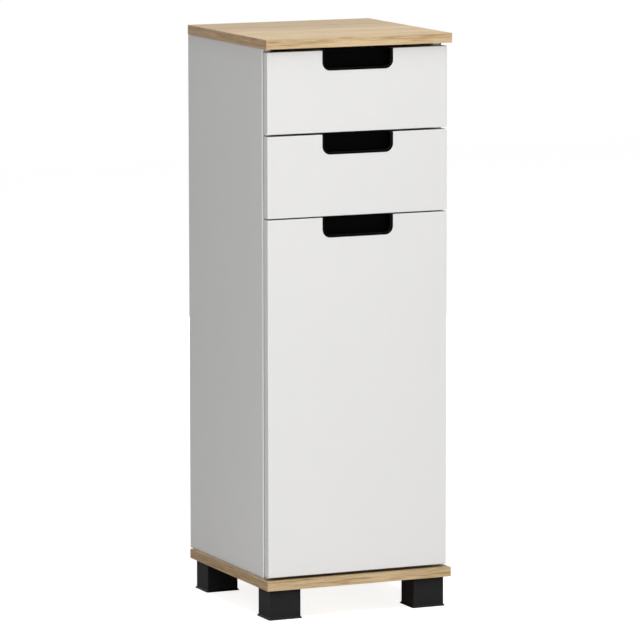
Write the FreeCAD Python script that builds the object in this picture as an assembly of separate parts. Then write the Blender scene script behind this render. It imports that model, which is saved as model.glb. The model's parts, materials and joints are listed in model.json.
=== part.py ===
import FreeCAD, Part
import os

V = FreeCAD.Vector

# Overall size, in millimetres: origin on the floor under the middle, front towards -Y
board_width = 310.0
board_depth = 310.0
cabinet_height = 892.0
board_thickness = 15.0
foot_height = 47.0

# Carcass
side_overhang = 5.0
front_overhang = 8.0
side_rear_reach = 10.0
panel_thickness = 15.0
shelf_thickness = 15.0
back_thickness = 3.0
back_groove_depth = 7.0
back_edge_cover = 12.0
edge_radius = 1.0
panel_edge_radius = 3.0

# Fronts
front_thickness = 15.0
front_gap = 4.0
drawer_front_height = 125.0
top_reveal = 5.0
drawer_reveal = 3.0
door_reveal = 2.0
bottom_reveal = 4.0

# Recessed grips
grip_width = 118.0
grip_depth = 31.0
grip_corner = 13.0
grip_wall = 1.6
grip_lip = 3.6
grip_lip_depth = 2.4
grip_lip_round = 0.7
grip_proud = 0.3

# Feet
foot_width = 51.0
foot_depth = 46.0
foot_side_inset = 8.5
foot_front_inset = 10.0
foot_rear_inset = 6.5
foot_corner = 1.0
foot_wall = 2.4
foot_plate = 3.0
foot_flare = 2.4
foot_flare_height = 2.4
foot_rim = 0.8
foot_rib = 1.8
foot_rib_lift = 1.5
foot_screw_spacing = 24.0

# Drawer boxes
box_rise = 12.0
box_height = 84.0
box_wall = 12.0
box_bottom_thickness = 3.0
box_groove_depth = 6.0
box_groove_rise = 8.0
box_edge_round = 2.0
box_foot_round = 1.2
back_screw_rise = 34.0
back_screw_spacing = 33.0

# Roller runners
runner_width = 12.5
runner_steel = 1.2
runner_bend = 0.8
runner_front_inset = 2.0
runner_rear_space = 31.0
runner_flange = 9.1
carry_flange = 7.8
wheel_radius = 9.0
wheel_width = 6.0
wheel_side_gap = 2.0
wheel_end_inset = 12.0
wheel_edge = 0.8
axle_radius = 2.5
axle_head_radius = 3.4
axle_head_height = 1.0
axle_collar_radius = 3.8
channel_play = 0.6
runner_screw_inset = 45.0
rail_screw_inset = 4.0

# Concealed door hinge
hinge_end_distance = 90.0
hinge_edge_distance = 6.5
hinge_depth = 8.5
hinge_pin_radius = 1.5
hinge_knuckle = 2.8
cup_radius = 17.5
cup_edge = 3.0
cup_depth = 12.5
cup_floor = 0.8
cup_wall = 1.4
cup_cheek = 10.5
cup_flange = 1.2
cup_flange_width = 25.0
cup_flange_length = 60.0
cup_flange_corner = 8.0
cup_screw_spacing = 48.0
cup_screw_offset = 6.0
arm_width = 14.0
arm_steel = 2.0
arm_length = 52.0
arm_lift = 3.0
arm_flange = 4.0
arm_flange_steel = 1.2
arm_flange_setback = 9.0
plate_length = 44.0
plate_setback = 12.0
plate_wing_width = 13.0
plate_wing_span = 48.0
plate_wing_corner = 4.0
plate_screw_setback = 37.0
plate_screw_spacing = 32.0
arm_screw_spacing = 22.0

# Shelf supports
pin_radius = 2.5
pin_depth = 8.0
pin_reach = 8.0
pin_peg_radius = 3.5
pin_flat = 1.0
pin_levels = 5
pin_pitch = 32.0
pin_row_inset = 37.0
shelf_side_gap = 1.0
shelf_front_setback = 12.0
shelf_rear_gap = 2.0
shelf_level = 0.5

# Connecting fittings
cam_radius = 7.5
cam_floor = 3.0
cam_distance = 24.0
cam_slot_width = 1.6
cam_slot_depth = 2.5
cam_slot_edge = 2.2
drawer_cam_radius = 6.0
drawer_cam_floor = 2.4
drawer_cam_rise = 58.0
bolt_thread_radius = 3.0
bolt_thread_length = 11.0
bolt_shank_radius = 2.5
bolt_neck_radius = 1.7
bolt_neck_length = 5.0
bolt_head_radius = 3.3
bolt_head_length = 3.0
dowel_radius = 4.0
dowel_length = 25.0
dowel_board_depth = 10.0
dowel_chamfer = 1.0
fitting_front_inset = 40.0
fitting_rear_inset = 45.0
dowel_step = 42.0

# Screws: radius of head, radius of shank, length
runner_screw = (4.2, 3.0, 13.0)
drawer_screw = (3.2, 1.7, 28.0)
rail_screw = (3.0, 1.6, 14.0)
cup_screw = (3.2, 1.6, 11.0)
foot_screw = (3.6, 1.9, 14.5)
arm_screw = (3.4, 2.4, 4.6)
screw_recess_depth = 1.0
screw_recess_radius = 1.1

# Door bumpers
bumper_radius = 4.0
bumper_height = 3.6
bumper_round = 1.3
bumper_inset = 24.0

# Clearances
fit = 0.1
pin_fit = 0.02
running_fit = 0.05
wheel_run = 0.15
slide_gap = 0.3
groove_fit = 0.2

# Levels and planes worked out from the sizes above
half_width = board_width / 2
panel_outer = half_width - side_overhang
panel_inner = panel_outer - panel_thickness
board_front = -(board_depth + side_rear_reach) / 2
board_rear = board_front + board_depth
panel_rear = board_rear + side_rear_reach
front_face = board_front + front_overhang
front_back = front_face + front_thickness
panel_front = front_back + front_gap
base_top = foot_height + board_thickness
roof_bottom = cabinet_height - board_thickness
upper_front_top = roof_bottom - top_reveal
upper_front_bottom = upper_front_top - drawer_front_height
lower_front_top = upper_front_bottom - drawer_reveal
lower_front_bottom = lower_front_top - drawer_front_height
door_top = lower_front_bottom - door_reveal
door_bottom = base_top + bottom_reveal
divider_middle = door_top + door_reveal / 2
divider_bottom = divider_middle - shelf_thickness / 2
divider_top = divider_middle + shelf_thickness / 2
box_half = panel_inner - runner_width
box_inner = box_half - box_wall
rail_front = panel_front + runner_front_inset
rail_rear = board_rear - runner_rear_space
box_rear = rail_rear - (rail_front - front_back)
channel_height = 2 * runner_steel + 2 * wheel_radius + wheel_run + channel_play
hinge_x = panel_outer - hinge_edge_distance
hinge_y = front_back - hinge_depth
cup_x = panel_outer - cup_edge - cup_radius
hinge_levels = (door_bottom + hinge_end_distance, door_top - hinge_end_distance)
fitting_rows = (panel_front + fitting_front_inset, board_rear - fitting_rear_inset)
dowel_rows = (fitting_rows[0] + dowel_step, fitting_rows[1] - dowel_step)
pin_rows = (panel_front + pin_row_inset, board_rear - pin_row_inset)
shelf_bottom = base_top + (divider_bottom - base_top) * shelf_level


def block(x0, x1, y0, y1, z0, z1):
    return Part.makeBox(x1 - x0, y1 - y0, z1 - z0, V(x0, y0, z0))


def bore(radius, start, direction, depth):
    return Part.makeCylinder(radius, depth, start, direction)


def turned(outline, start, direction):
    """Solid of revolution: outline holds (radius, height) corners, height runs along direction."""
    corners = [V(r, 0, h) for r, h in outline]
    face = Part.Face(Part.makePolygon(corners + corners[:1]))
    solid = face.revolve(V(0, 0, 0), V(0, 0, 1), 360)
    solid.Placement = FreeCAD.Placement(start, FreeCAD.Rotation(V(0, 0, 1), direction))
    return solid


def mirrored(shape):
    return shape.mirror(V(0, 0, 0), V(1, 0, 0))


def group(solids):
    return Part.makeCompound(list(solids))


def rounded_block(x0, x1, y0, y1, z0, z1, radius):
    solid = block(x0, x1, y0, y1, z0, z1)
    return solid.makeFillet(radius, solid.Edges)


def edges_along_y(solid, x, z):
    """Straight edges of a solid that run from front to rear at one place of its section."""
    return [e for e in solid.Edges if e.BoundBox.YLength > front_gap
            and abs(e.CenterOfMass.x - x) < fit and abs(e.CenterOfMass.z - z) < fit]


def screw(size, head, direction, extra=0.0):
    """Countersunk screw with its flat head at head; extra widens it into the hole that takes it."""
    head_radius, shank_radius, length = size
    cone = head_radius - shank_radius
    outline = [(0, 0), (head_radius + extra, 0), (shank_radius + extra, cone),
               (shank_radius + extra, length - shank_radius), (0, length + extra)]
    body = turned(outline, head, direction)
    if extra:
        return body
    recess = bore(screw_recess_radius, head, direction, screw_recess_depth)
    return body.cut(recess)


def screw_hole(size, head, direction):
    return screw(size, head, direction, fit)


def notch_face(inset, bottom, top, y):
    """U outline of a grip, drawn inwards by inset, standing in the plane y."""
    half = grip_width / 2 - inset
    low = bottom + inset
    radius = grip_corner - inset
    slope = radius * (1 - 0.5 ** 0.5)
    left = Part.Arc(V(-half, y, low + radius), V(-half + slope, y, low + slope),
                    V(-half + radius, y, low))
    right = Part.Arc(V(half - radius, y, low), V(half - slope, y, low + slope),
                     V(half, y, low + radius))
    edges = [Part.LineSegment(V(-half, y, top), V(-half, y, low + radius)).toShape(),
             left.toShape(),
             Part.LineSegment(V(-half + radius, y, low), V(half - radius, y, low)).toShape(),
             right.toShape(),
             Part.LineSegment(V(half, y, low + radius), V(half, y, top)).toShape(),
             Part.LineSegment(V(half, y, top), V(-half, y, top)).toShape()]
    return Part.Face(Part.Wire(edges))


def notch(inset, bottom, top, y0, y1):
    return notch_face(inset, bottom, top, y0).extrude(V(0, y1 - y0, 0))


def front_panel(bottom, top):
    """Overlay front with softened edges and the notch for its grip."""
    panel = rounded_block(-panel_outer, panel_outer, front_face, front_back, bottom, top, edge_radius)
    over = front_thickness
    return panel.cut(notch(0, top - grip_depth, top + over, front_face - over, front_back + over))


def grip_shell(top):
    """Open-topped tray that lines the notch; its lip hides an undercut for the fingertips."""
    bottom = top - grip_depth
    nose = front_face - grip_proud
    lip_back = front_face + grip_lip_depth
    shell = notch(fit, bottom, top, nose, front_back)
    over = grip_depth
    shell = shell.cut(notch(fit + grip_wall, bottom, top + over, lip_back, front_back - grip_wall))
    shell = shell.cut(notch(grip_lip, bottom, top + over, nose - over, lip_back))
    inner = grip_width / 2 - grip_lip + fit
    nose_edges = [e for e in shell.Edges if e.BoundBox.YMax < nose + fit]
    lip_edges = [e for e in nose_edges if e.BoundBox.XMax < inner and e.BoundBox.XMin > -inner
                 and e.BoundBox.ZMin > bottom + 2 * fit]
    return shell.makeFillet(grip_lip_round, lip_edges)


def cam_fittings():
    """Cam joints: point on the joint, way into the cam's board, cam axis and board thickness."""
    joints = []
    for y in fitting_rows:
        for side in (-1, 1):
            middle = side * (panel_outer + panel_inner) / 2
            outward = V(side, 0, 0)
            joints.append((V(middle, y, roof_bottom), V(0, 0, -1), outward, panel_thickness))
            joints.append((V(middle, y, base_top), V(0, 0, 1), outward, panel_thickness))
            shelf_end = V(side * panel_inner, y, divider_middle)
            joints.append((shelf_end, V(-side, 0, 0), V(0, 0, 1), shelf_thickness))
    return joints


def dowel_places():
    places = []
    for y in dowel_rows:
        for side in (-1, 1):
            middle = side * (panel_outer + panel_inner) / 2
            places.append((V(middle, y, roof_bottom), V(0, 0, -1)))
            places.append((V(middle, y, base_top), V(0, 0, 1)))
            places.append((V(side * panel_inner, y, divider_middle), V(-side, 0, 0)))
    return places


def cam_lock(joint, radius, floor):
    """Cam housing with its screwdriver slot and the channel that takes the bolt's head."""
    point, inward, axis, thickness = joint
    mouth = point + inward * cam_distance - axis * (thickness / 2)
    body = bore(radius, mouth, axis, thickness - floor)
    channel = bore(bolt_head_radius + fit, point + inward * (cam_distance + bolt_head_length), inward * -1,
                   radius * 2)
    slot = block(-radius, radius, -cam_slot_width / 2, cam_slot_width / 2, 0, cam_slot_depth)
    slot.Placement = FreeCAD.Placement(mouth, FreeCAD.Rotation(V(0, 0, 1), axis))
    rim = bore(radius - cam_slot_edge, mouth, axis, cam_slot_depth)
    return body.cut(channel).cut(slot.common(rim))


def cam_bolt(joint):
    point, inward, axis, thickness = joint
    tip = cam_distance + bolt_head_length / 2
    neck = tip - bolt_head_length - bolt_neck_length
    outline = [(0, -bolt_thread_length), (bolt_thread_radius, -bolt_thread_length), (bolt_thread_radius, 0),
               (bolt_shank_radius, 0), (bolt_shank_radius, neck), (bolt_neck_radius, neck),
               (bolt_neck_radius, tip - bolt_head_length), (bolt_head_radius, tip - bolt_head_length),
               (bolt_head_radius, tip), (0, tip)]
    return turned(outline, point, inward)


def cam_holes(joint, radius, floor):
    point, inward, axis, thickness = joint
    mouth = point + inward * cam_distance - axis * (thickness / 2)
    return [bore(radius + fit, mouth, axis, thickness - floor + fit),
            bore(bolt_head_radius + 2 * fit, point, inward, cam_distance),
            bore(bolt_thread_radius + fit, point, inward * -1, bolt_thread_length + fit)]


def dowel(place, extra=0.0):
    point, inward = place
    start = -dowel_board_depth - extra
    end = dowel_length - dowel_board_depth + extra
    radius = dowel_radius + extra
    outline = [(0, start), (radius - dowel_chamfer, start), (radius, start + dowel_chamfer),
               (radius, end - dowel_chamfer), (radius - dowel_chamfer, end), (0, end)]
    return turned(outline, point, inward)


def carcass_cuts():
    cuts = []
    for joint in cam_fittings():
        cuts += cam_holes(joint, cam_radius, cam_floor)
    return cuts + [dowel(place, fit) for place in dowel_places()]


def foot_centres():
    x = half_width - foot_side_inset - foot_width / 2
    front = board_front + foot_front_inset + foot_depth / 2
    rear = board_rear - foot_rear_inset - foot_depth / 2
    return {"foot_front_left": (-x, front), "foot_front_right": (x, front),
            "foot_rear_left": (-x, rear), "foot_rear_right": (x, rear)}


def foot_wire(growth, z):
    """Outline of a foot at height z, grown on all sides: a rectangle with rounded corners."""
    a = foot_width / 2 + growth
    b = foot_depth / 2 + growth
    corner = max(foot_corner, foot_corner + growth)
    slope = corner * (1 - 0.5 ** 0.5)
    runs = []
    for sx, sy in ((1, 1), (-1, 1), (-1, -1), (1, -1)):
        run = [V(sx * a, sy * (b - corner), z), V(sx * (a - slope), sy * (b - slope), z),
               V(sx * (a - corner), sy * b, z)]
        runs.append(run if sx == sy else run[::-1])
    edges = []
    for run, after in zip(runs, runs[1:] + runs[:1]):
        edges.append(Part.Arc(*run).toShape())
        edges.append(Part.LineSegment(run[-1], after[0]).toShape())
    return Part.Wire(edges)


def foot_column(growth, z0, z1):
    return Part.Face(foot_wire(growth, z0)).extrude(V(0, 0, z1 - z0))


def foot_screw_spots(centre):
    plate_bottom = foot_height - foot_plate
    return [V(centre[0] + s * foot_screw_spacing / 2, centre[1], plate_bottom) for s in (-1, 1)]


def foot(centre):
    """Moulded foot: thin walls, crossed ribs inside and a flared rim at the floor."""
    body = foot_column(0, 0, foot_height)
    rim = foot_column(foot_flare, 0, foot_rim)
    flare_top = foot_rim + foot_flare_height
    flare = Part.makeLoft([foot_wire(foot_flare, foot_rim), foot_wire(0, flare_top)], True, True)
    body = body.fuse(rim).fuse(flare).removeSplitter()
    cavity_top = foot_height - foot_plate
    body = body.cut(foot_column(-foot_wall, 0, cavity_top))
    reach_x = foot_width / 2 - foot_wall
    reach_y = foot_depth / 2 - foot_wall
    half_rib = foot_rib / 2
    cross = block(-reach_x, reach_x, -half_rib, half_rib, foot_rib_lift, cavity_top)
    cross = cross.fuse(block(-half_rib, half_rib, -reach_y, reach_y, foot_rib_lift, cavity_top))
    for s in (-1, 1):
        well = foot_screw[0] + 2 * fit
        cross = cross.cut(bore(well, V(s * foot_screw_spacing / 2, 0, 0), V(0, 0, 1), foot_height))
    body = body.fuse(cross).removeSplitter()
    body.translate(V(centre[0], centre[1], 0))
    return body.cut([screw_hole(foot_screw, spot, V(0, 0, 1)) for spot in foot_screw_spots(centre)])


def runner_levels(front_bottom):
    """Heights of one drawer's runners: channel floor, carrying flange, wheel axes."""
    base = front_bottom + box_rise - runner_steel
    carry = base + channel_height + slide_gap
    return {"base": base, "carry": carry, "rear_axis": base + runner_steel + wheel_radius + wheel_run,
            "front_axis": carry - wheel_run - wheel_radius}


def wheel_span():
    start = runner_steel + wheel_side_gap
    return start, start + wheel_width


def front_axle_point(levels):
    return V(-panel_inner, rail_front + wheel_end_inset, levels["front_axis"])


def rear_axle_point(levels):
    return V(-box_half, box_rear - wheel_end_inset, levels["rear_axis"])


def axle(point, direction, seat):
    """Riveted axle: stem in the rail, collar, journal and a flat head sunk in the wheel."""
    head = seat + wheel_width - axle_head_height - fit
    outline = [(0, 0), (axle_radius, 0), (axle_radius, runner_steel), (axle_collar_radius, runner_steel),
               (axle_collar_radius, seat - 2 * fit), (axle_radius, seat - 2 * fit), (axle_radius, head),
               (axle_head_radius, head), (axle_head_radius, head + axle_head_height),
               (0, head + axle_head_height)]
    return turned(outline, point, direction)


def wheel(point, direction, seat):
    """Nylon wheel with rounded tread edges and a sunk face for the axle's head."""
    hole = axle_radius + running_fit
    sunk = seat + wheel_width - axle_head_height - 2 * fit
    end = seat + wheel_width
    recess = axle_head_radius + slide_gap
    outline = [(hole, seat), (wheel_radius - wheel_edge, seat), (wheel_radius, seat + wheel_edge),
               (wheel_radius, end - wheel_edge), (wheel_radius - wheel_edge, end), (recess, end),
               (recess, sunk), (hole, sunk)]
    return turned(outline, point, direction)


def rear_wheel_seat():
    return runner_width - wheel_span()[1]


def runner_screw_spots(levels):
    middle = levels["base"] + channel_height / 2
    x = -panel_inner + runner_steel
    return [V(x, y, middle) for y in (rail_front + runner_screw_inset, rail_rear - runner_screw_inset)]


def cabinet_rail(levels):
    """Left cabinet rail: bent steel channel, its upper flange cut back round the front wheel."""
    base = levels["base"]
    top = base + channel_height
    wall = -panel_inner
    web = wall + runner_steel
    edge = web + runner_flange
    bend = runner_steel + runner_bend
    sheet = block(wall, edge, rail_front, rail_rear, base, top)
    sheet = sheet.makeFillet(bend, edges_along_y(sheet, wall, base) + edges_along_y(sheet, wall, top))
    low = base + runner_steel
    high = top - runner_steel
    hollow = block(web, edge + runner_flange, rail_front, rail_rear, low, high)
    inner_bends = edges_along_y(hollow, web, low) + edges_along_y(hollow, web, high)
    hollow = hollow.makeFillet(runner_bend, inner_bends)
    roof_start = rail_front + 2 * wheel_end_inset
    cuts = [hollow, block(wall, edge, rail_front, roof_start, top - bend, top)]
    cuts += [screw_hole(runner_screw, spot, V(-1, 0, 0)) for spot in runner_screw_spots(levels)]
    cuts.append(bore(axle_radius + pin_fit, front_axle_point(levels), V(1, 0, 0), runner_steel))
    return sheet.cut(cuts)


def rail_screw_spots(levels):
    x = -box_half + rail_screw_inset
    rows = (front_back + runner_screw_inset, box_rear - runner_screw_inset)
    return [V(x, y, levels["base"]) for y in rows]


def drawer_rail(levels):
    """Left drawer rail, bent from sheet: sole under the box side, web beside it, flange on the wheel."""
    base = levels["base"]
    carry = levels["carry"]
    top = carry + runner_steel
    outer = -box_half - runner_steel
    edge = outer - carry_flange
    bend = runner_steel + runner_bend
    sheet = block(edge, -box_inner, front_back, box_rear, base, top)
    under = block(edge, outer, front_back, box_rear, base, carry)
    under = under.makeFillet(runner_bend, edges_along_y(under, outer, carry))
    low = base + runner_steel
    beside = block(-box_half, -box_inner, front_back, box_rear, low, top)
    beside = beside.makeFillet(runner_bend, edges_along_y(beside, -box_half, low))
    rail = sheet.cut([under, beside])
    rail = rail.makeFillet(bend, edges_along_y(rail, outer, base) + edges_along_y(rail, -box_half, top))
    holes = [screw_hole(rail_screw, spot, V(0, 0, 1)) for spot in rail_screw_spots(levels)]
    holes.append(bore(axle_radius + pin_fit, rear_axle_point(levels), V(-1, 0, 0), runner_steel))
    return rail.cut(holes)


def drawer_cam_joint(front_bottom):
    """Left cam joint between a drawer side and its front."""
    z = front_bottom + box_rise + drawer_cam_rise
    return (V(-(box_half + box_inner) / 2, front_back, z), V(0, 1, 0), V(1, 0, 0), box_wall)


def back_screw_spots(front_bottom):
    low = front_bottom + box_rise + back_screw_rise
    y = box_rear - box_wall / 2
    return [V(-box_half, y, z) for z in (low, low + back_screw_spacing)]


def drawer_nodes(prefix, front_bottom, front_top):
    """Every piece that travels with one drawer, and the rails and wheels it runs on."""
    levels = runner_levels(front_bottom)
    low = front_bottom + box_rise
    high = low + box_height
    floor = low + box_groove_rise
    cam_joint = drawer_cam_joint(front_bottom)
    cam_cuts = cam_holes(cam_joint, drawer_cam_radius, drawer_cam_floor)
    back_screws = back_screw_spots(front_bottom)
    rail_screws = rail_screw_spots(levels)
    groove_x = box_inner + box_groove_depth
    groove = block(-groove_x, groove_x, front_back - box_groove_depth, box_rear,
                   floor - groove_fit / 2, floor + box_bottom_thickness + groove_fit / 2)
    screw_cuts = [screw_hole(drawer_screw, spot, V(1, 0, 0)) for spot in back_screws]
    screw_cuts += [screw_hole(rail_screw, spot, V(0, 0, 1)) for spot in rail_screws]
    side = block(-box_half, -box_inner, front_back, box_rear, low, high)
    upper_edges = edges_along_y(side, -box_half, high) + edges_along_y(side, -box_inner, high)
    side = side.makeFillet(box_edge_round, upper_edges)
    side = side.makeFillet(box_foot_round, edges_along_y(side, -box_half, low))
    side = side.cut(groove).cut(cam_cuts + screw_cuts)
    front = front_panel(front_bottom, front_top).cut(groove).cut(cam_cuts)
    front = front.cut([mirrored(cut) for cut in cam_cuts])
    back_low = floor + box_bottom_thickness + groove_fit / 2
    back = block(-box_inner, box_inner, box_rear - box_wall, box_rear, back_low, high - box_edge_round)
    back = back.cut(screw_cuts).cut([mirrored(cut) for cut in screw_cuts])
    bottom = block(-groove_x + fit, groove_x - fit, front_back - box_groove_depth + fit, box_rear,
                   floor, floor + box_bottom_thickness)
    rail = drawer_rail(levels)
    screws = [screw(drawer_screw, spot, V(1, 0, 0)) for spot in back_screws]
    screws += [screw(rail_screw, spot, V(0, 0, 1)) for spot in rail_screws]
    cam = cam_lock(cam_joint, drawer_cam_radius, drawer_cam_floor)
    bolt = cam_bolt(cam_joint)
    rear_axle = axle(rear_axle_point(levels), V(-1, 0, 0), rear_wheel_seat())
    rear_wheel = wheel(rear_axle_point(levels), V(-1, 0, 0), rear_wheel_seat())
    front_wheel = wheel(front_axle_point(levels), V(1, 0, 0), wheel_span()[0])
    fixed_rail = cabinet_rail(levels)
    return {prefix + "_drawer_front": front,
            prefix + "_drawer_grip": grip_shell(front_top),
            prefix + "_drawer_left_side": side,
            prefix + "_drawer_right_side": mirrored(side),
            prefix + "_drawer_back": back,
            prefix + "_drawer_bottom": bottom,
            prefix + "_drawer_left_rail": rail,
            prefix + "_drawer_right_rail": mirrored(rail),
            prefix + "_drawer_cams": group([cam, mirrored(cam)]),
            prefix + "_drawer_cam_bolts": group([bolt, mirrored(bolt)]),
            prefix + "_drawer_screws": group(screws + [mirrored(s) for s in screws]),
            prefix + "_rear_roller_axles": group([rear_axle, mirrored(rear_axle)]),
            prefix + "_rear_rollers": group([rear_wheel, mirrored(rear_wheel)]),
            prefix + "_front_rollers": group([front_wheel, mirrored(front_wheel)]),
            prefix + "_left_cabinet_rail": fixed_rail,
            prefix + "_right_cabinet_rail": mirrored(fixed_rail)}


def plate_screw_spots(level):
    y = panel_front + plate_screw_setback
    return [V(panel_inner - arm_lift, y, level + s * plate_screw_spacing / 2) for s in (-1, 1)]


def arm_screw_spots(level):
    y = panel_front + plate_screw_setback
    x = panel_inner - arm_lift - arm_steel
    return [V(x, y + s * arm_screw_spacing / 2, level) for s in (-1, 1)]


def hinge_plate(level):
    """Cross-shaped mounting plate on the inside of the right panel."""
    x0 = panel_inner - arm_lift
    middle = panel_front + plate_screw_setback
    front = panel_front + plate_setback
    half = arm_width / 2
    bar = block(x0, panel_inner, front, front + plate_length, level - half, level + half)
    wing = block(x0, panel_inner, middle - plate_wing_width / 2, middle + plate_wing_width / 2,
                 level - plate_wing_span / 2, level + plate_wing_span / 2)
    wing_ends = [e for e in wing.Edges if e.BoundBox.XLength > arm_lift / 2 and e.BoundBox.YLength < fit
                 and e.BoundBox.ZLength < fit]
    wing = wing.makeFillet(plate_wing_corner, wing_ends)
    plate = bar.fuse(wing).removeSplitter()
    holes = [screw_hole(runner_screw, spot, V(1, 0, 0)) for spot in plate_screw_spots(level)]
    holes += [screw_hole(arm_screw, spot, V(1, 0, 0)) for spot in arm_screw_spots(level)]
    return plate.cut(holes)


def hinge_arm(level):
    """Cranked arm: a strip along the panel that dips into the cup and turns there to its knuckle."""
    half = arm_width / 2
    low = level - half
    x_strip = panel_inner - arm_lift - arm_steel
    elbow = V(x_strip + arm_steel / 2, hinge_y, low)
    axis_point = V(hinge_x, hinge_y, low)
    strip = block(x_strip, x_strip + arm_steel, elbow.y, panel_front + arm_length, low, low + arm_width)
    reach = axis_point - elbow
    crank = block(0, reach.Length, -arm_steel / 2, arm_steel / 2, 0, arm_width)
    crank.Placement = FreeCAD.Placement(elbow, FreeCAD.Rotation(V(1, 0, 0), reach))
    bend = bore(arm_steel / 2, elbow, V(0, 0, 1), arm_width)
    knuckle = bore(hinge_knuckle, axis_point, V(0, 0, 1), arm_width)
    arm = strip.fuse([crank, bend, knuckle])
    flange_start = panel_front + arm_flange_setback
    for z in (low, low + arm_width - arm_flange_steel):
        arm = arm.fuse(block(x_strip - arm_flange, x_strip + arm_steel / 2, flange_start,
                             panel_front + arm_length, z, z + arm_flange_steel))
    arm = arm.removeSplitter()
    holes = [screw_hole(arm_screw, spot, V(1, 0, 0)) for spot in arm_screw_spots(level)]
    holes.append(bore(hinge_pin_radius + running_fit, axis_point, V(0, 0, 1), arm_width))
    return arm.cut(holes)


def arm_slot(level, extra):
    """Room for the arm to turn in: from the cup's middle to just past its wall at the hinge edge."""
    half = arm_width / 2 + extra
    return block(cup_x - cup_radius / 2, cup_x + cup_radius + slide_gap, front_back - cup_depth, panel_front,
                 level - half, level + half)


def cup_screw_spots(level):
    x = cup_x - cup_screw_offset
    y = front_back + cup_flange
    return [V(x, y, level + s * cup_screw_spacing / 2) for s in (-1, 1)]


def hinge_cup(level):
    """Cast cup: flanged, hollow towards the door's middle, with two cheeks that hold the pin."""
    bottom = V(cup_x, front_back - cup_depth, level)
    body = bore(cup_radius - fit, bottom, V(0, 1, 0), cup_depth)
    half_flange = cup_flange_width / 2
    flange = block(cup_x - half_flange, cup_x + half_flange, front_back, front_back + cup_flange,
                   level - cup_flange_length / 2, level + cup_flange_length / 2)
    corners = [e for e in flange.Edges if e.BoundBox.YLength > cup_flange / 2 and e.BoundBox.XLength < fit
               and e.BoundBox.ZLength < fit]
    flange = flange.makeFillet(cup_flange_corner, corners)
    floor_y = front_back - cup_depth + cup_floor
    hollow = bore(cup_radius - cup_wall, V(cup_x, floor_y, level), V(0, 1, 0), cup_depth + cup_flange)
    hollow = hollow.common(block(cup_x - cup_radius, panel_outer - cup_edge - cup_cheek, floor_y,
                                 front_back + cup_depth, level - cup_radius, level + cup_radius))
    slot = arm_slot(level, slide_gap)
    slot = slot.common(block(-panel_outer, panel_outer + cup_radius, floor_y, panel_front,
                             level - cup_radius, level + cup_radius))
    holes = [screw_hole(cup_screw, spot, V(0, -1, 0)) for spot in cup_screw_spots(level)]
    holes.append(bore(hinge_pin_radius + pin_fit, V(hinge_x, hinge_y, level - cup_radius), V(0, 0, 1),
                      2 * cup_radius))
    return body.fuse(flange).removeSplitter().cut([hollow, slot] + holes)


def hinge_pin(level):
    """Pin as long as the chord of the cup that it crosses."""
    offset = hinge_x - cup_x
    half = ((cup_radius - fit) ** 2 - (offset + hinge_pin_radius) ** 2) ** 0.5
    return bore(hinge_pin_radius, V(hinge_x, hinge_y, level - half), V(0, 0, 1), 2 * half)


def door_panel():
    """Tall overlay front, bored for the two cups, with a pocket beside each for the arm's knuckle."""
    door = front_panel(door_bottom, door_top)
    for level in hinge_levels:
        cup = bore(cup_radius, V(cup_x, front_back - cup_depth, level), V(0, 1, 0), cup_depth)
        slot = arm_slot(level, 2 * slide_gap)
        screws = [screw_hole(cup_screw, spot, V(0, -1, 0)) for spot in cup_screw_spots(level)]
        door = door.cut([cup, slot] + screws)
    return door


def bumper(z):
    """Low rubber dome that stops the door against the left panel."""
    middle = (panel_outer + panel_inner) / 2
    dome = bore(bumper_radius, V(-middle, front_back, z), V(0, 1, 0), bumper_height)
    rim = [e for e in dome.Edges if e.BoundBox.YMin > front_back + bumper_height - fit]
    return dome.makeFillet(bumper_round, rim)


def board(z0):
    z1 = z0 + board_thickness
    return rounded_block(-half_width, half_width, board_front, board_rear, z0, z1, edge_radius)


def pin_spots():
    middle = shelf_bottom - pin_peg_radius + pin_flat
    return [V(panel_inner, y, middle) for y in pin_rows]


def shelf_pin(spot):
    """Stepped pin with a flat on top for the shelf."""
    outline = [(0, -pin_reach), (pin_peg_radius, -pin_reach), (pin_peg_radius, 0), (pin_radius, 0),
               (pin_radius, pin_depth), (0, pin_depth)]
    pin = turned(outline, spot, V(1, 0, 0))
    return pin.cut(block(spot.x - pin_reach, spot.x, spot.y - pin_peg_radius, spot.y + pin_peg_radius,
                         shelf_bottom, shelf_bottom + pin_peg_radius))


def side_panel(is_right):
    """Side panel with its fittings, groove for the back, rows of shelf holes and runner screw holes."""
    panel = block(panel_inner, panel_outer, panel_front, panel_rear, base_top, roof_bottom)
    front_edges = [e for e in panel.Edges if e.BoundBox.YMax < panel_front + fit
                   and e.BoundBox.ZLength > panel_thickness + fit]
    panel = panel.makeFillet(panel_edge_radius, front_edges)
    groove = block(panel_inner, panel_inner + back_groove_depth, board_rear - groove_fit / 2,
                   board_rear + back_thickness + groove_fit / 2, base_top, roof_bottom)
    cuts = [groove]
    for spot in pin_spots():
        for step in range(pin_levels):
            lift = V(0, 0, (step - pin_levels // 2) * pin_pitch)
            cuts.append(bore(pin_radius + fit, spot + lift, V(1, 0, 0), pin_depth + fit))
    for front_bottom in (upper_front_bottom, lower_front_bottom):
        spots = runner_screw_spots(runner_levels(front_bottom))
        cuts += [mirrored(screw_hole(runner_screw, spot, V(-1, 0, 0))) for spot in spots]
    if is_right:
        for level in hinge_levels:
            cuts += [screw_hole(runner_screw, spot, V(1, 0, 0)) for spot in plate_screw_spots(level)]
        return panel.cut(cuts)
    return mirrored(panel.cut(cuts))


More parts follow.
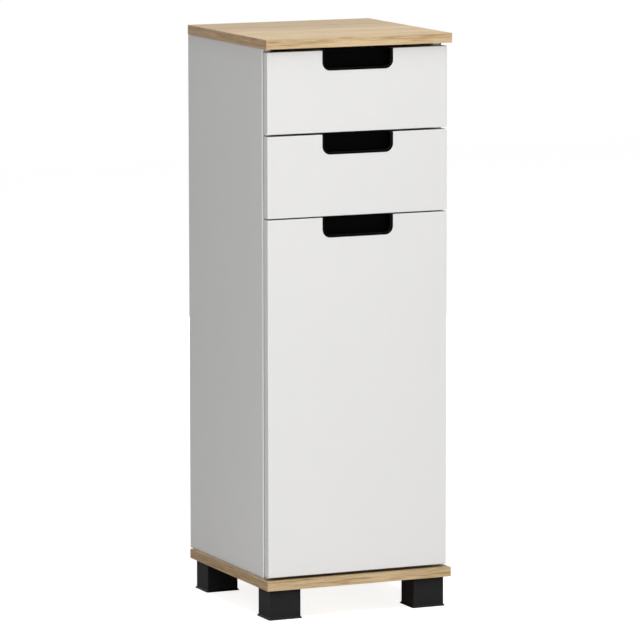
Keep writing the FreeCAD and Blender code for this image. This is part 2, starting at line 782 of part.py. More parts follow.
def carcass_nodes():
    cuts = carcass_cuts()
    foot_places = foot_centres()
    base_cuts = [screw_hole(foot_screw, spot, V(0, 0, 1))
                 for centre in foot_places.values() for spot in foot_screw_spots(centre)]
    back_half = panel_inner + back_groove_depth - fit
    pins = [shelf_pin(spot) for spot in pin_spots()]
    shelf_half = panel_inner - shelf_side_gap
    shelf = block(-shelf_half, shelf_half, panel_front + shelf_front_setback, board_rear - shelf_rear_gap,
                  shelf_bottom, shelf_bottom + shelf_thickness)
    divider = block(-panel_inner, panel_inner, panel_front, board_rear, divider_bottom, divider_top)
    nodes = {"top_board": board(roof_bottom).cut(cuts),
             "bottom_board": board(foot_height).cut(cuts + base_cuts),
             "left_side_panel": side_panel(False).cut(cuts),
             "right_side_panel": side_panel(True).cut(cuts),
             "back_panel": block(-back_half, back_half, board_rear, board_rear + back_thickness,
                                 base_top - back_edge_cover, roof_bottom + back_edge_cover),
             "fixed_shelf": divider.cut(cuts),
             "adjustable_shelf": shelf,
             "shelf_pins": group(pins + [mirrored(pin) for pin in pins]),
             "cam_locks": group(cam_lock(joint, cam_radius, cam_floor) for joint in cam_fittings()),
             "cam_bolts": group(cam_bolt(joint) for joint in cam_fittings()),
             "wood_dowels": group(dowel(place) for place in dowel_places()),
             "foot_screws": group(screw(foot_screw, spot, V(0, 0, 1))
                                  for centre in foot_places.values() for spot in foot_screw_spots(centre))}
    for name, centre in foot_places.items():
        nodes[name] = foot(centre)
    return nodes


def fixed_runner_nodes():
    """Euro screws of rails and hinge plates, and the axles of the fixed wheels."""
    screws = []
    axles = []
    for front_bottom in (upper_front_bottom, lower_front_bottom):
        levels = runner_levels(front_bottom)
        left = [screw(runner_screw, spot, V(-1, 0, 0)) for spot in runner_screw_spots(levels)]
        screws += left + [mirrored(s) for s in left]
        pin = axle(front_axle_point(levels), V(1, 0, 0), wheel_span()[0])
        axles += [pin, mirrored(pin)]
    for level in hinge_levels:
        screws += [screw(runner_screw, spot, V(1, 0, 0)) for spot in plate_screw_spots(level)]
    return {"euro_screws": group(screws), "front_roller_axles": group(axles)}


def door_nodes():
    arm_screws = []
    cup_screws = []
    for level in hinge_levels:
        arm_screws += [screw(arm_screw, spot, V(1, 0, 0)) for spot in arm_screw_spots(level)]
        cup_screws += [screw(cup_screw, spot, V(0, -1, 0)) for spot in cup_screw_spots(level)]
    return {"door_panel": door_panel(),
            "door_grip": grip_shell(door_top),
            "door_bumpers": group([bumper(door_bottom + bumper_inset), bumper(door_top - bumper_inset)]),
            "hinge_plates": group(hinge_plate(level) for level in hinge_levels),
            "hinge_arms": group(hinge_arm(level) for level in hinge_levels),
            "hinge_arm_screws": group(arm_screws),
            "hinge_cups": group(hinge_cup(level) for level in hinge_levels),
            "hinge_cup_screws": group(cup_screws),
            "hinge_pins": group(hinge_pin(level) for level in hinge_levels)}


def main():
    os.makedirs("parts", exist_ok=True)
    nodes = carcass_nodes()
    nodes.update(fixed_runner_nodes())
    nodes.update(drawer_nodes("upper", upper_front_bottom, upper_front_top))
    nodes.update(drawer_nodes("lower", lower_front_bottom, lower_front_top))
    nodes.update(door_nodes())
    for name, shape in nodes.items():
        shape.exportStep("parts/" + name + ".step")
    print(len(nodes), "nodes,", sum(len(shape.Solids) for shape in nodes.values()), "solids")


main()
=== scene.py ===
import bpy
import json
import math
from mathutils import Matrix, Quaternion, Vector


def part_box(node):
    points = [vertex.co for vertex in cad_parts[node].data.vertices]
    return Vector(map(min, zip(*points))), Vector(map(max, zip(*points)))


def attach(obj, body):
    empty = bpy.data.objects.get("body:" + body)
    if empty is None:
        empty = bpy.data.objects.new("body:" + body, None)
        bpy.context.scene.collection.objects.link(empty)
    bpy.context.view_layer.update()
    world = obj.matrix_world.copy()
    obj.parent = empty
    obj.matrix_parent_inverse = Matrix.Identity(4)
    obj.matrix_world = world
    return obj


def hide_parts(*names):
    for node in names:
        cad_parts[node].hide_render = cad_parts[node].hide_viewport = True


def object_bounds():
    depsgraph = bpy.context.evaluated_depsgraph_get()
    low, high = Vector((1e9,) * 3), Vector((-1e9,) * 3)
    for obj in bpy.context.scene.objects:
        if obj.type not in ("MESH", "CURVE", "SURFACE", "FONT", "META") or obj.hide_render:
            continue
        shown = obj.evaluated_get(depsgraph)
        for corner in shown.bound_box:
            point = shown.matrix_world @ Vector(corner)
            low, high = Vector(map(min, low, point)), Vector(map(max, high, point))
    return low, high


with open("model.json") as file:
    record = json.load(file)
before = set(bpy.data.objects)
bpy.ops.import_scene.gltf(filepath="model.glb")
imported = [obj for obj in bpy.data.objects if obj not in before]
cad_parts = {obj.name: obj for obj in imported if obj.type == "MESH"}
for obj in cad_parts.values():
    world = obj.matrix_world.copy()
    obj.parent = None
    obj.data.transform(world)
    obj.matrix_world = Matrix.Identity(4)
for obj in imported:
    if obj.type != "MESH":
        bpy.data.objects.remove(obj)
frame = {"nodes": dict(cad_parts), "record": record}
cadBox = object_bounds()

nodes = frame["nodes"]
scene = bpy.context.scene
scene.view_settings.view_transform = "Standard"
print("frame loaded:", len(nodes), "cabinet parts")


# Small helpers for shader trees

mixSockets = {"VECTOR": (4, 5, 1), "RGBA": (6, 7, 2)}     # the Mix node's two inputs and output of each kind
skySamples = 6
plainSpecular = 0.5


def newFinish(name):
    material = bpy.data.materials.new(name)
    material.use_nodes = True
    return material, material.node_tree, material.node_tree.nodes["Principled BSDF"]


def addNode(tree, kind, **sockets):
    node = tree.nodes.new(kind)
    for key, value in sockets.items():
        if key in node.inputs:
            node.inputs[key].default_value = value
        else:
            setattr(node, key, value)
    return node


def join(tree, output, socket):
    tree.links.new(output, socket)


def feed(tree, socket, value):
    if isinstance(value, (int, float)):
        socket.default_value = value
    elif isinstance(value, tuple):
        socket.default_value = (*value, 1.0)
    else:
        join(tree, value, socket)


def mathNode(tree, operation, first, second=0.0):
    node = addNode(tree, "ShaderNodeMath", operation=operation)
    feed(tree, node.inputs[0], first)
    feed(tree, node.inputs[1], second)
    return node.outputs[0]


def mixNode(tree, kind, factor, first, second, blend="MIX"):
    firstIn, secondIn, result = mixSockets[kind]
    node = addNode(tree, "ShaderNodeMix", data_type=kind, blend_type=blend)
    feed(tree, node.inputs[0], factor)
    feed(tree, node.inputs[firstIn], first)
    feed(tree, node.inputs[secondIn], second)
    return node.outputs[result]


def mixColours(tree, factor, first, second):
    return mixNode(tree, "RGBA", factor, first, second)


def tinted(tree, colour, tint):
    return mixNode(tree, "RGBA", 1.0, colour, tint, "MULTIPLY")


def objectPoint(tree):
    return addNode(tree, "ShaderNodeTexCoord").outputs["Object"]


def axisOf(tree, vector, axis):
    split = addNode(tree, "ShaderNodeSeparateXYZ")
    join(tree, vector, split.inputs[0])
    return split.outputs[axis]


def noiseOn(tree, vector, waves, detail=3.0, rough=0.55):
    node = addNode(tree, "ShaderNodeTexNoise", Scale=1.0, Detail=detail, Roughness=rough)
    mapping = addNode(tree, "ShaderNodeMapping", Scale=waves)
    join(tree, vector, mapping.inputs["Vector"])
    join(tree, mapping.outputs[0], node.inputs["Vector"])
    return node.outputs["Fac"]


def rampOn(tree, value, *stops):
    node = addNode(tree, "ShaderNodeValToRGB")
    band = node.color_ramp
    while len(band.elements) < len(stops):
        band.elements.new(0.5)
    for element, (place, colour) in zip(band.elements, stops):
        element.position = place
        element.color = (*colour, 1.0)
    join(tree, value, node.inputs[0])
    return node.outputs[0]


def rangeOn(tree, value, low, high, fromLow=0.0, fromHigh=1.0):
    node = addNode(tree, "ShaderNodeMapRange")
    for key, number in (("From Min", fromLow), ("From Max", fromHigh), ("To Min", low), ("To Max", high)):
        node.inputs[key].default_value = number
    join(tree, value, node.inputs["Value"])
    return node.outputs[0]


def openSky(tree, reach, low, high):     # 0 deep in a narrow joint, 1 in the open
    node = addNode(tree, "ShaderNodeAmbientOcclusion", samples=skySamples, Distance=reach)
    return rangeOn(tree, node.outputs["AO"], 0.0, 1.0, low, high)


def layOn(tree, shader, look, colour, fine, height=None):
    join(tree, colour, shader.inputs["Base Color"])
    join(tree, rangeOn(tree, fine, *look["roughness"]), shader.inputs["Roughness"])
    bump = addNode(tree, "ShaderNodeBump", Strength=1.0, Distance=look["relief"])
    join(tree, fine if height is None else height, bump.inputs["Height"])
    join(tree, bump.outputs[0], shader.inputs["Normal"])
    shader.inputs["Specular IOR Level"].default_value = look.get("specular", plainSpecular)


# Painted shade: narrow joints between the fronts and boards are darkened in the base colour by an occlusion
# test, as little light finds a way in

jointShadeLook = {
    "reach": 0.012,
    "board": (0.20, 0.62, 0.18),     # openness where the painted shade is full and where it ends, light left
    "side": (0.54, 0.66, 0.16),
    "front": (0.14, 0.62, 0.24),
    "seenIn": 0.004,                 # how far in from its outer face a side panel's front edge gets the painted shade
}


def paintedJointShade(tree, colour, part, spared=None):
    full, ends, left = jointShadeLook[part]
    bright = openSky(tree, jointShadeLook["reach"], full, ends)
    if spared is not None:
        bright = mathNode(tree, "MAXIMUM", bright, spared)
    return mixColours(tree, bright, tinted(tree, colour, (left, left, left)), colour)


# Oak-effect boards: long grain on the faces, and edge bands with the grain along each edge

oakLook = {
    "deep": (0.365, (0.392, 0.25, 0.115)),     # level in the grain's tone, colour there
    "middle": (0.445, (0.592, 0.42, 0.222)),
    "pale": (0.535, (0.735, 0.55, 0.326)),
    "plankDark": (0.42, (0.80, 0.785, 0.755)),
    "plankPale": (0.58, (1.0, 1.0, 1.0)),
    "plank": ((0.5, 5.5, 5.5), 1.0, 0.5),      # waves per metre along and across, detail, roughness
    "streak": ((1.4, 42.0, 42.0), 5.0, 0.6),
    "vein": ((14.0, 260.0, 260.0), 3.0, 0.6),
    "fibre": ((30.0, 640.0, 640.0), 3.0, 0.55),
    "pore": ((40.0, 1500.0, 1500.0), 2.0, 0.55),
    "shares": {"streak": 0.27, "vein": 0.37, "fibre": 0.36},
    "poreColour": (0.30, 0.19, 0.09),
    "poreLevels": (0.60, 0.72),                # where a pore begins and where it is full
    "poreShare": 0.55,
    "endTone": (0.83, 0.745, 0.71),            # the bands on the two ends are a little darker
    "endSkin": 0.0004,
    "roughness": (0.42, 0.56),
    "relief": 0.00012,
    "specular": 0.38,
}


def oakFinish():
    material, tree, shader = newFinish("oakEffect")
    point = objectPoint(tree)
    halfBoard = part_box("top_board")[1].x
    fromMiddle = mathNode(tree, "ABSOLUTE", axisOf(tree, point, 0))
    onEnd = mathNode(tree, "GREATER_THAN", fromMiddle, halfBoard - oakLook["endSkin"])
    turned = addNode(tree, "ShaderNodeMapping", Rotation=(0.0, 0.0, math.radians(90)))
    join(tree, point, turned.inputs["Vector"])
    grain = mixNode(tree, "VECTOR", onEnd, point, turned.outputs[0])
    layers = {}
    for name in ("plank", "streak", "vein", "fibre", "pore"):
        layers[name] = noiseOn(tree, grain, *oakLook[name])
    tone = 0.0
    for name, share in oakLook["shares"].items():
        tone = mathNode(tree, "ADD", tone, mathNode(tree, "MULTIPLY", layers[name], share))
    colour = rampOn(tree, tone, oakLook["deep"], oakLook["middle"], oakLook["pale"])
    colour = tinted(tree, colour, rampOn(tree, layers["plank"], oakLook["plankDark"], oakLook["plankPale"]))
    inPore = rangeOn(tree, layers["pore"], 0.0, oakLook["poreShare"], *oakLook["poreLevels"])
    colour = mixColours(tree, inPore, colour, oakLook["poreColour"])
    colour = mixColours(tree, onEnd, colour, tinted(tree, colour, oakLook["endTone"]))
    relief = mathNode(tree, "SUBTRACT", layers["fibre"], inPore)
    # the oak's base colour carries painted shade in its joints
    layOn(tree, shader, oakLook, paintedJointShade(tree, colour, "board"), layers["fibre"], relief)
    return material


# White melamine on particle board: faint waves in the film, raw board where no edge is banded, a whiter edge
# band that is partly a painted highlight, and painted shade in the joints

melamineLook = {
    "white": (0.86, 0.855, 0.845),
    "shade": (0.835, 0.83, 0.82),
    "wave": ((5.0, 5.0, 5.0), 2.0),             # waves per metre, detail
    "peel": ((1100.0, 1100.0, 1100.0), 2.0),
    "roughness": (0.40, 0.50),
    "relief": 0.00002,
    "specular": 0.35,
    "band": (0.93, 0.925, 0.915),               # the edge band round a side panel's front edge, whiter than the film: partly its own colour, partly a painted highlight on the rounded edge
    "bandDeep": 0.0025,
    "chip": ((420.0, 420.0, 900.0), 4.0, 0.7),
    "chipDark": (0.36, (0.30, 0.20, 0.11)),
    "chipPale": (0.62, (0.62, 0.47, 0.30)),
    "rawSkin": 0.0002,
}


def chipColour(tree, point):
    chip = noiseOn(tree, point, *melamineLook["chip"])
    return rampOn(tree, chip, melamineLook["chipDark"], melamineLook["chipPale"])


def melamineFinish(name, joint, rawFrom=None, bandTo=None):
    material, tree, shader = newFinish(name)
    point = objectPoint(tree)
    depth = axisOf(tree, point, 1)
    wave = noiseOn(tree, point, *melamineLook["wave"])
    peel = noiseOn(tree, point, *melamineLook["peel"])
    colour = mixColours(tree, wave, melamineLook["white"], melamineLook["shade"])
    spared = None
    if rawFrom is not None:
        isRaw = mathNode(tree, "GREATER_THAN", depth, rawFrom)
        colour = mixColours(tree, isRaw, colour, chipColour(tree, point))
    if bandTo is not None:
        isBand = mathNode(tree, "LESS_THAN", depth, bandTo)
        # painted highlight: the rounded front edge of a side panel is given a whiter colour, partly the edge
        # band's own
        colour = mixColours(tree, isBand, colour, melamineLook["band"])
        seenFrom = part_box("right_side_panel")[1].x - jointShadeLook["seenIn"]
        fromMiddle = mathNode(tree, "ABSOLUTE", axisOf(tree, point, 0))
        spared = mathNode(tree, "MULTIPLY", isBand, mathNode(tree, "LESS_THAN", fromMiddle, seenFrom))
    # the melamine's base colour carries painted shade in its joints
    layOn(tree, shader, melamineLook, paintedJointShade(tree, colour, joint, spared), peel)
    return material


# Thin fibreboard: white on its good face, brown fibres on the face nobody sees

fibreboardLook = {
    "white": (0.82, 0.815, 0.80),
    "shade": (0.835, 0.83, 0.82),
    "brownDark": (0.35, (0.33, 0.225, 0.13)),
    "brownPale": (0.65, (0.46, 0.33, 0.205)),
    "fibre": ((260.0, 260.0, 260.0), 5.0, 0.7),
    "roughness": (0.55, 0.72),
    "relief": 0.00006,
    "brownSkin": 0.0002,
}


def fibreboardFinish(name, axis, operation, limit):
    material, tree, shader = newFinish(name)
    point = objectPoint(tree)
    fibre = noiseOn(tree, point, *fibreboardLook["fibre"])
    brown = rampOn(tree, fibre, fibreboardLook["brownDark"], fibreboardLook["brownPale"])
    white = mixColours(tree, fibre, fibreboardLook["white"], fibreboardLook["shade"])
    isBrown = mathNode(tree, operation, axisOf(tree, point, axis), limit)
    layOn(tree, shader, fibreboardLook, mixColours(tree, isBrown, white, brown), fibre)
    return material


# Black moulded plastic: satin feet, dull grips; painted shade in hollows and under the cabinet, and a fine
# painted highlight on each grip lip's rounded edge

plasticLook = {
    "grain": ((1700.0, 1700.0, 1700.0), 2.0),
    "cloud": ((22.0, 22.0, 22.0), 3.0),
    "roughness": (0.42, 0.58),
    "relief": 0.00004,
    # painted shade colour for hollows and for faces hemmed in under the cabinet
    "paintedShadeColour": (0.0007, 0.0007, 0.0007),
    "highlightColour": (0.075, 0.075, 0.077),
    "highlightReach": 0.0016,
    "highlightOpen": (0.35, 0.95),     # openness inside the wall: on an outer edge, on a flat face
    "highlightTurn": (0.5, 0.97),      # how far the surface faces the front: on the rounding, on the lip
    "foot": {"dark": (0.0195, 0.0195, 0.0198), "light": (0.027, 0.027, 0.0275), "specular": 0.10,
             "shade": (0.25, 0.36, 0.48), "lipHighlight": 0.0},     # shade: reach, openness where the painted shade is full and where there is none
    "grip": {"dark": (0.0022, 0.0022, 0.0023), "light": (0.0042, 0.0042, 0.0044), "specular": 0.02,
             "shade": (0.06, 0.72, 1.0), "lipHighlight": 0.9},
}


def lipHighlightMask(tree):
    node = addNode(tree, "ShaderNodeAmbientOcclusion", samples=skySamples, inside=True,
                   Distance=plasticLook["highlightReach"])
    edge = rangeOn(tree, node.outputs["AO"], 1.0, 0.0, *plasticLook["highlightOpen"])
    facing = axisOf(tree, addNode(tree, "ShaderNodeTexCoord").outputs["Normal"], 1)
    turnedIn = rangeOn(tree, mathNode(tree, "ABSOLUTE", facing), 1.0, 0.0, *plasticLook["highlightTurn"])
    return mathNode(tree, "MULTIPLY", edge, turnedIn)     # the rounded edge, not the flat lip beside it, gets the painted highlight


def plasticFinish(name):
    look = {**plasticLook, **plasticLook[name]}
    material, tree, shader = newFinish(name + "Plastic")
    point = objectPoint(tree)
    grain = noiseOn(tree, point, *look["grain"])
    cloud = noiseOn(tree, point, *look["cloud"])
    colour = mixColours(tree, cloud, look["dark"], look["light"])
    # painted shade: the colour goes near black where the occlusion test finds the surface hemmed in
    colour = mixColours(tree, openSky(tree, *look["shade"]), look["paintedShadeColour"], colour)
    # painted highlight: a lighter line on the grip lip's rounded edge, where it would catch the light
    if look["lipHighlight"]:
        lipHighlight = mathNode(tree, "MULTIPLY", lipHighlightMask(tree), look["lipHighlight"])
        colour = mixColours(tree, lipHighlight, colour, look["highlightColour"])
    layOn(tree, shader, look, colour, grain)
    return material


# Metals and small parts: one recipe, a dictionary row for each finish

smallLooks = {
    "powderSteel": {"pale": (0.79, 0.79, 0.78), "dark": (0.74, 0.74, 0.73), "metal": 0.0,
                    "grain": (900.0, 900.0, 900.0), "roughness": (0.32, 0.44), "relief": 0.00003},
    "nylonWheel": {"pale": (0.82, 0.81, 0.77), "dark": (0.76, 0.75, 0.71), "metal": 0.0,
                   "grain": (350.0, 350.0, 350.0), "roughness": (0.35, 0.5), "relief": 0.00002},
    "castZinc": {"pale": (0.62, 0.62, 0.60), "dark": (0.48, 0.48, 0.47), "metal": 1.0,
                 "grain": (700.0, 700.0, 700.0), "roughness": (0.38, 0.55), "relief": 0.00003},
    "nickelPlate": {"pale": (0.72, 0.70, 0.66), "dark": (0.60, 0.585, 0.55), "metal": 1.0,
                    "grain": (90.0, 90.0, 1600.0), "roughness": (0.22, 0.36), "relief": 0.00001},
    "zincScrew": {"pale": (0.70, 0.70, 0.69), "dark": (0.55, 0.55, 0.55), "metal": 1.0,
                  "grain": (800.0, 800.0, 800.0), "roughness": (0.26, 0.42), "relief": 0.00001},
    "beechDowel": {"pale": (0.66, 0.48, 0.30), "dark": (0.52, 0.35, 0.20), "metal": 0.0,
                   "grain": (300.0, 300.0, 40.0), "roughness": (0.55, 0.7), "relief": 0.00005},
    "softBumper": {"pale": (0.80, 0.80, 0.77), "dark": (0.74, 0.74, 0.71), "metal": 0.0,
                   "grain": (240.0, 240.0, 240.0), "roughness": (0.25, 0.35), "relief": 0.00001},
}


def smallFinish(name):
    look = smallLooks[name]
    material, tree, shader = newFinish(name)
    grain = noiseOn(tree, objectPoint(tree), look["grain"])
    layOn(tree, shader, look, mixColours(tree, grain, look["dark"], look["pale"]), grain)
    shader.inputs["Metallic"].default_value = look["metal"]
    return material


finishes = {name: smallFinish(name) for name in smallLooks}


# Which finish each cabinet part wears

def dressParts():
    panelFront, panelRear = (corner.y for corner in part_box("left_side_panel"))
    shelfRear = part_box("adjustable_shelf")[1].y
    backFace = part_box("back_panel")[1].y
    rawSkin, brownSkin = melamineLook["rawSkin"], fibreboardLook["brownSkin"]
    bandTo = panelFront + melamineLook["bandDeep"]
    sideWhite = melamineFinish("sideMelamine", "side", panelRear - rawSkin, bandTo)
    bySlot = {"oak_board": oakFinish(), "white_panel": melamineFinish("whiteMelamine", "front"),
              "black_plastic": plasticFinish("foot"), "runner_steel": finishes["powderSteel"],
              "white_nylon": finishes["nylonWheel"], "beech_dowel": finishes["beechDowel"],
              "clear_rubber": finishes["softBumper"], "zinc_fitting": finishes["castZinc"],
              "nickel_hinge": finishes["nickelPlate"], "bright_steel": finishes["zincScrew"]}
    byPart = {"left_side_panel": sideWhite, "right_side_panel": sideWhite,
              "adjustable_shelf": melamineFinish("shelfMelamine", "front", shelfRear - rawSkin),
              "back_panel": fibreboardFinish("backFibreboard", 1, "GREATER_THAN", backFace - brownSkin)}
    gripPlastic = plasticFinish("grip")
    for name in ("upper_drawer_grip", "lower_drawer_grip", "door_grip"):
        byPart[name] = gripPlastic
    for drawer in ("upper", "lower"):
        name = drawer + "_drawer_bottom"
        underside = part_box(name)[0].z
        byPart[name] = fibreboardFinish(drawer + "DrawerFloor", 2, "LESS_THAN", underside + brownSkin)
    for row in frame["record"]["subparts"]:
        part = nodes[row["node"]]
        finish = byPart.get(row["node"]) or bySlot[row["material_slot"]]
        part.data.materials.clear()
        part.data.materials.append(finish)


dressParts()
print("finishes on", len(nodes), "parts")


# Modelling by hand: choose faces by a test, and keep one object selected

levelFrom = 0.9     # a face whose normal has this much along Z counts as level


def facesUp(face):
    return face.normal.z > levelFrom


def facesDown(face):
    return face.normal.z < -levelFrom


def selectOnly(*pieces):
    bpy.ops.object.select_all(action="DESELECT")
    for piece in pieces:
        piece.select_set(True)
    bpy.context.view_layer.objects.active = pieces[0]


def pickFaces(piece, wanted):
    selectOnly(piece)
    bpy.ops.object.mode_set(mode="EDIT")
    bpy.ops.mesh.select_mode(type="FACE")
    bpy.ops.mesh.select_all(action="DESELECT")
    bpy.ops.object.mode_set(mode="OBJECT")
    for face in piece.data.polygons:
        face.select = wanted(face)
    bpy.ops.object.mode_set(mode="EDIT")


def resizeAcross(size):
    bpy.ops.transform.resize(value=(size, size, 1.0), center_override=(0.0, 0.0, 0.0))


def drawOut(drop, size):
    bpy.ops.mesh.extrude_region_move(TRANSFORM_OT_translate={"value": (0.0, 0.0, -drop)})
    resizeAcross(size)


def settle():
    bpy.ops.object.transform_apply(location=True, rotation=True, scale=True)


def applyAll(piece):
    selectOnly(piece)
    for modifier in list(piece.modifiers):
        bpy.ops.object.modifier_apply(modifier=modifier.name)


def soften(piece, look):
    width, bevelFrom, smoothTo = look["softness"]
    bevel = piece.modifiers.new("softness", "BEVEL")
    bevel.width = width
    bevel.segments = 2
    bevel.limit_method = "ANGLE"
    bevel.angle_limit = math.radians(bevelFrom)
    applyAll(piece)
    bpy.ops.object.shade_smooth_by_angle(angle=math.radians(smoothTo))


# Screws with a cross recess: one modelled for each size, copied to every hole

screwLook = {
    "corners": 24,
    "recess": (1.35, 0.34, 0.0012),         # length and width in head radii, depth in metres
    "recessFoot": 0.5,
    "pitch": 0.0011,
    "core": 0.82,
    "tip": 0.12,
    "softness": (0.0001, 110.0, 35.0),      # width of the bevel, degrees it starts at, degrees shaded smooth
    "twist": 37.0,                          # degrees from one screw to the next
    "weld": 0.00002,                        # corners of a CAD screw this close are one
    "match": 0.0005,                        # a CAD screw whose length is this close is of that kind
    "runner": (0.0042, 0.0030, 0.0130),     # radius of the head and shank, length
    "arm": (0.0034, 0.0024, 0.0046),
    "cup": (0.0032, 0.0016, 0.0110),
    "box": (0.0032, 0.0017, 0.0280),
    "rail": (0.0030, 0.0016, 0.0140),
    "foot": (0.0036, 0.0019, 0.0145),
}

screwSets = {     # CAD node, body, and the way each kind is driven on the cabinet's right-hand side
    "euroScrews": ("euro_screws", "carcass", {"runner": (1, 0, 0)}),
    "hingeArmScrews": ("hinge_arm_screws", "carcass", {"arm": (1, 0, 0)}),
    "footScrews": ("foot_screws", "carcass", {"foot": (0, 0, 1)}),
    "hingeCupScrews": ("hinge_cup_screws", "door", {"cup": (0, -1, 0)}),
    "upperDrawerScrews": ("upper_drawer_screws", "upper_drawer", {"box": (-1, 0, 0), "rail": (0, 0, 1)}),
    "lowerDrawerScrews": ("lower_drawer_screws", "lower_drawer", {"box": (-1, 0, 0), "rail": (0, 0, 1)}),
}


def cutRecess(screw, head):
    long, wide, deep = screwLook["recess"]
    bpy.ops.object.select_all(action="DESELECT")
    bpy.ops.mesh.primitive_cube_add(size=1.0)
    bar = bpy.context.object
    bar.scale = (head * long, head * wide, 2 * deep)
    settle()
    pickFaces(bar, facesDown)
    resizeAcross(screwLook["recessFoot"])
    bpy.ops.object.mode_set(mode="OBJECT")
    for turn in (0, 90):
        bar.rotation_euler.z = math.radians(turn)
        cut = screw.modifiers.new("recess", "BOOLEAN")
        cut.object = bar
        cut.operation = "DIFFERENCE"
        cut.solver = "EXACT"
        applyAll(screw)
    bpy.data.objects.remove(bar)


def modelScrew(kind):
    head, shank, length = screwLook[kind]
    cone = head - shank
    bpy.ops.object.select_all(action="DESELECT")
    bpy.ops.mesh.primitive_cone_add(vertices=screwLook["corners"], radius1=shank, radius2=head, depth=cone,
                                    location=(0.0, 0.0, -cone / 2))
    screw = bpy.context.object
    screw.name = kind + "Screw"
    settle()
    pickFaces(screw, facesDown)
    pitch, core = screwLook["pitch"], screwLook["core"]
    turns = int((length - cone - shank) / pitch)
    for turn in range(turns):
        drawOut(pitch / 2, core)
        drawOut(pitch / 2, 1 / core)
    drawOut(length - cone - turns * pitch, screwLook["tip"])
    bpy.ops.object.mode_set(mode="OBJECT")
    cutRecess(screw, head)
    soften(screw, screwLook)
    return screw


def solidBoxes(name):
    selectOnly(nodes[name])
    bpy.ops.object.duplicate(linked=False)
    bpy.ops.object.mode_set(mode="EDIT")
    bpy.ops.mesh.select_all(action="SELECT")
    bpy.ops.mesh.remove_doubles(threshold=screwLook["weld"])
    bpy.ops.mesh.separate(type="LOOSE")
    bpy.ops.object.mode_set(mode="OBJECT")
    boxes = []
    for copy in list(bpy.context.selected_objects):
        corners = [Vector(corner) for corner in copy.bound_box]
        boxes.append((corners[0], corners[6]))     # the lowest and the highest corner
        bpy.data.objects.remove(copy)
    return sorted(boxes, key=lambda box: [round(value, 5) for value in box[0]])


def screwRows(node, ways, patterns):
    rows = []
    for low, high in solidBoxes(node):
        middle = (low + high) / 2
        for kind, way in ways.items():
            length = screwLook[kind][2]
            drive = Vector((math.copysign(1.0, middle.x) * way[0], way[1], way[2]))
            if abs(abs(drive.dot(high - low)) - length) < screwLook["match"]:
                rows.append((patterns[kind], middle - drive * length / 2, drive))
    return rows


def standCopies(name, rows):
    copies = []
    for number, (pattern, spot, way) in enumerate(rows):
        selectOnly(pattern)
        bpy.ops.object.duplicate(linked=False)
        copy = bpy.context.object
        turn = Vector((0, 0, 1)).rotation_difference(-Vector(way))
        twist = Quaternion((0, 0, 1), math.radians(screwLook["twist"] * number))
        copy.rotation_euler = (turn @ twist).to_euler()
        copy.location = spot
        settle()
        copies.append(copy)
    selectOnly(*copies)
    bpy.ops.object.join()
    piece = bpy.context.object
    piece.name = name
    piece.data.materials.clear()
    piece.data.materials.append(finishes["zincScrew"])
    return piece


def makeScrews():
    patterns = {kind: modelScrew(kind) for kind in ("runner", "arm", "cup", "box", "rail", "foot")}
    for name, (node, body, ways) in screwSets.items():
        piece = standCopies(name, screwRows(node, ways, patterns))
        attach(piece, body)
        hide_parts(node)
    for pattern in patterns.values():
        bpy.data.objects.remove(pattern)


makeScrews()
print("screws modelled and set in their holes")


# Nails that hold the back panel to the rear edges of the two boards

nailLook = {
    "corners": 20,
    "head": 0.0023,
    "thick": 0.0007,
    "dome": 0.0003,
    "domeSteps": (0.35, 0.5),             # shares of the dome's height that each ring rises
    "domeInset": 0.6,
    "shank": 0.00075,
    "length": 0.014,
    "point": (2.0, 0.15),                 # length in shank radii, width left at its end
    "softness": (0.00012, 60.0, 40.0),    # width of the bevel, degrees it starts at, degrees shaded smooth
    "x": (-0.108, 0.0, 0.108),
    "intoBoard": 0.006,                   # up from the panel's lower end, and down from its upper end
}


def modelNail():
    look = nailLook
    bpy.ops.object.select_all(action="DESELECT")
    bpy.ops.mesh.primitive_cylinder_add(vertices=look["corners"], radius=look["head"], depth=look["thick"],
                                        location=(0.0, 0.0, look["thick"] / 2))
    nail = bpy.context.object
    settle()
    pickFaces(nail, facesUp)
    for share in look["domeSteps"]:
        bpy.ops.mesh.inset(thickness=look["head"] * share * look["domeInset"])
        bpy.ops.transform.translate(value=(0.0, 0.0, look["dome"] * share))
    bpy.ops.object.mode_set(mode="OBJECT")
    pickFaces(nail, facesDown)
    bpy.ops.mesh.inset(thickness=look["head"] - look["shank"])
    pointLong, pointLeft = look["point"]
    drawOut(look["length"], 1.0)
    drawOut(look["shank"] * pointLong, pointLeft)
    bpy.ops.object.mode_set(mode="OBJECT")
    soften(nail, look)
    return nail


def makeNails():
    nail = modelNail()
    low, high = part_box("back_panel")
    rows = []
    for x in nailLook["x"]:
        for z in (low.z + nailLook["intoBoard"], high.z - nailLook["intoBoard"]):
            rows.append((nail, (x, high.y, z), (0, -1, 0)))
    piece = standCopies("backNails", rows)
    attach(piece, "carcass")
    bpy.data.objects.remove(nail)


makeNails()
print("back panel nailed")


# Floor, soft light and white surroundings

stageLook = {
    "floorHalf": 6.0,
    "floorColour": (0.78, 0.78, 0.78),
    "floorRoughness": 0.9,
    "cameraGlow": 0.81,     # added for the camera only, so that the floor is white there and keeps the shadow
    "fill": 0.225,
}


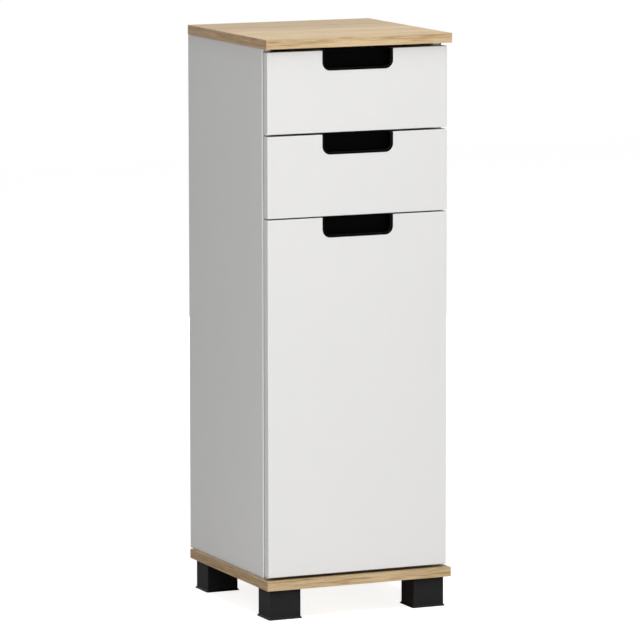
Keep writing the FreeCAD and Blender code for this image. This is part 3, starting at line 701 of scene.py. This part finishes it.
def makeFloor():
    bpy.ops.object.select_all(action="DESELECT")
    bpy.ops.mesh.primitive_plane_add(size=2 * stageLook["floorHalf"], location=(0, 0, cadBox[0].z))
    floor = bpy.context.object
    floor.name = "paleFloor"
    material, tree, shader = newFinish("paleFloorFinish")
    shader.inputs["Base Color"].default_value = (*stageLook["floorColour"], 1.0)
    shader.inputs["Roughness"].default_value = stageLook["floorRoughness"]
    shader.inputs["Specular IOR Level"].default_value = 0.0
    glow = addNode(tree, "ShaderNodeEmission", Strength=stageLook["cameraGlow"])
    seen = addNode(tree, "ShaderNodeLightPath").outputs["Is Camera Ray"]
    lit = addNode(tree, "ShaderNodeAddShader")
    choose = addNode(tree, "ShaderNodeMixShader")
    join(tree, shader.outputs[0], lit.inputs[0])
    join(tree, glow.outputs[0], lit.inputs[1])
    join(tree, seen, choose.inputs[0])
    join(tree, shader.outputs[0], choose.inputs[1])
    join(tree, lit.outputs[0], choose.inputs[2])
    join(tree, choose.outputs[0], tree.nodes["Material Output"].inputs["Surface"])
    floor.data.materials.append(material)


def makeSurroundings():
    world = bpy.data.worlds.new("studio")
    scene.world = world
    world.use_nodes = True
    tree = world.node_tree
    background = tree.nodes["Background"]
    background.inputs["Color"].default_value = (1.0, 1.0, 1.0, 1.0)
    path = addNode(tree, "ShaderNodeLightPath")
    seen = mathNode(tree, "MAXIMUM", path.outputs["Is Camera Ray"], path.outputs["Is Glossy Ray"])
    seen = mathNode(tree, "MAXIMUM", seen, path.outputs["Is Transmission Ray"])
    join(tree, rangeOn(tree, seen, stageLook["fill"], 1.0), background.inputs["Strength"])


lampLook = {
    "key": {"place": (-0.9, -3.5, 0.5), "aim": (0.0, 0.0, 0.45), "side": 0.9, "power": 50.0},
    "top": {"place": (0.1, -0.85, 2.6), "aim": (0.1, -0.3, 0.0), "side": 1.8, "power": 29.5},
    "low": {"place": (-1.5, -0.4, 0.3), "aim": (-0.15, -0.12, 0.15), "side": 0.5, "power": 1.15},
    "rear": {"place": (1.1, 3.0, 0.42), "aim": (0.0, 0.1, 0.42), "side": 0.75, "power": 20.0},
}


def makeLamps():
    for name, look in lampLook.items():
        data = bpy.data.lights.new(name + "Lamp", "AREA")
        data.size = look["side"]
        data.energy = look["power"]
        lamp = bpy.data.objects.new(name + "Lamp", data)
        scene.collection.objects.link(lamp)
        lamp.visible_glossy = name != "rear"     # no glare from behind on the oak and the side panels
        lamp.location = look["place"]
        lamp.rotation_euler = (Vector(look["aim"]) - lamp.location).to_track_quat("-Z", "Y").to_euler()


makeFloor()
makeSurroundings()
makeLamps()
print("floor and light ready")


# Camera at the photograph's standpoint

cameraLook = {
    "place": (-3.2131, -7.2679, 1.5484),
    "pitch": 7.9605,     # degrees down
    "yaw": 23.8755,      # degrees to the right of straight ahead
    "roll": -0.0739,
    "lens": 289.78,      # millimetres, on a sensor this wide
    "sensor": 36.0,
    "sight": 60.0,       # metres
}


def makeCamera():
    data = bpy.data.cameras.new("photoCamera")
    data.lens = cameraLook["lens"]
    data.sensor_width = cameraLook["sensor"]
    data.clip_end = cameraLook["sight"]
    camera = bpy.data.objects.new("photoCamera", data)
    scene.collection.objects.link(camera)
    camera.location = cameraLook["place"]
    turn = Matrix.Rotation(-math.radians(cameraLook["yaw"]), 3, "Z")
    tilt = Matrix.Rotation(math.radians(90 - cameraLook["pitch"]), 3, "X")
    lean = Matrix.Rotation(math.radians(cameraLook["roll"]), 3, "Z")
    camera.rotation_euler = (turn @ tilt @ lean).to_euler()
    scene.camera = camera


makeCamera()
print("camera ready")
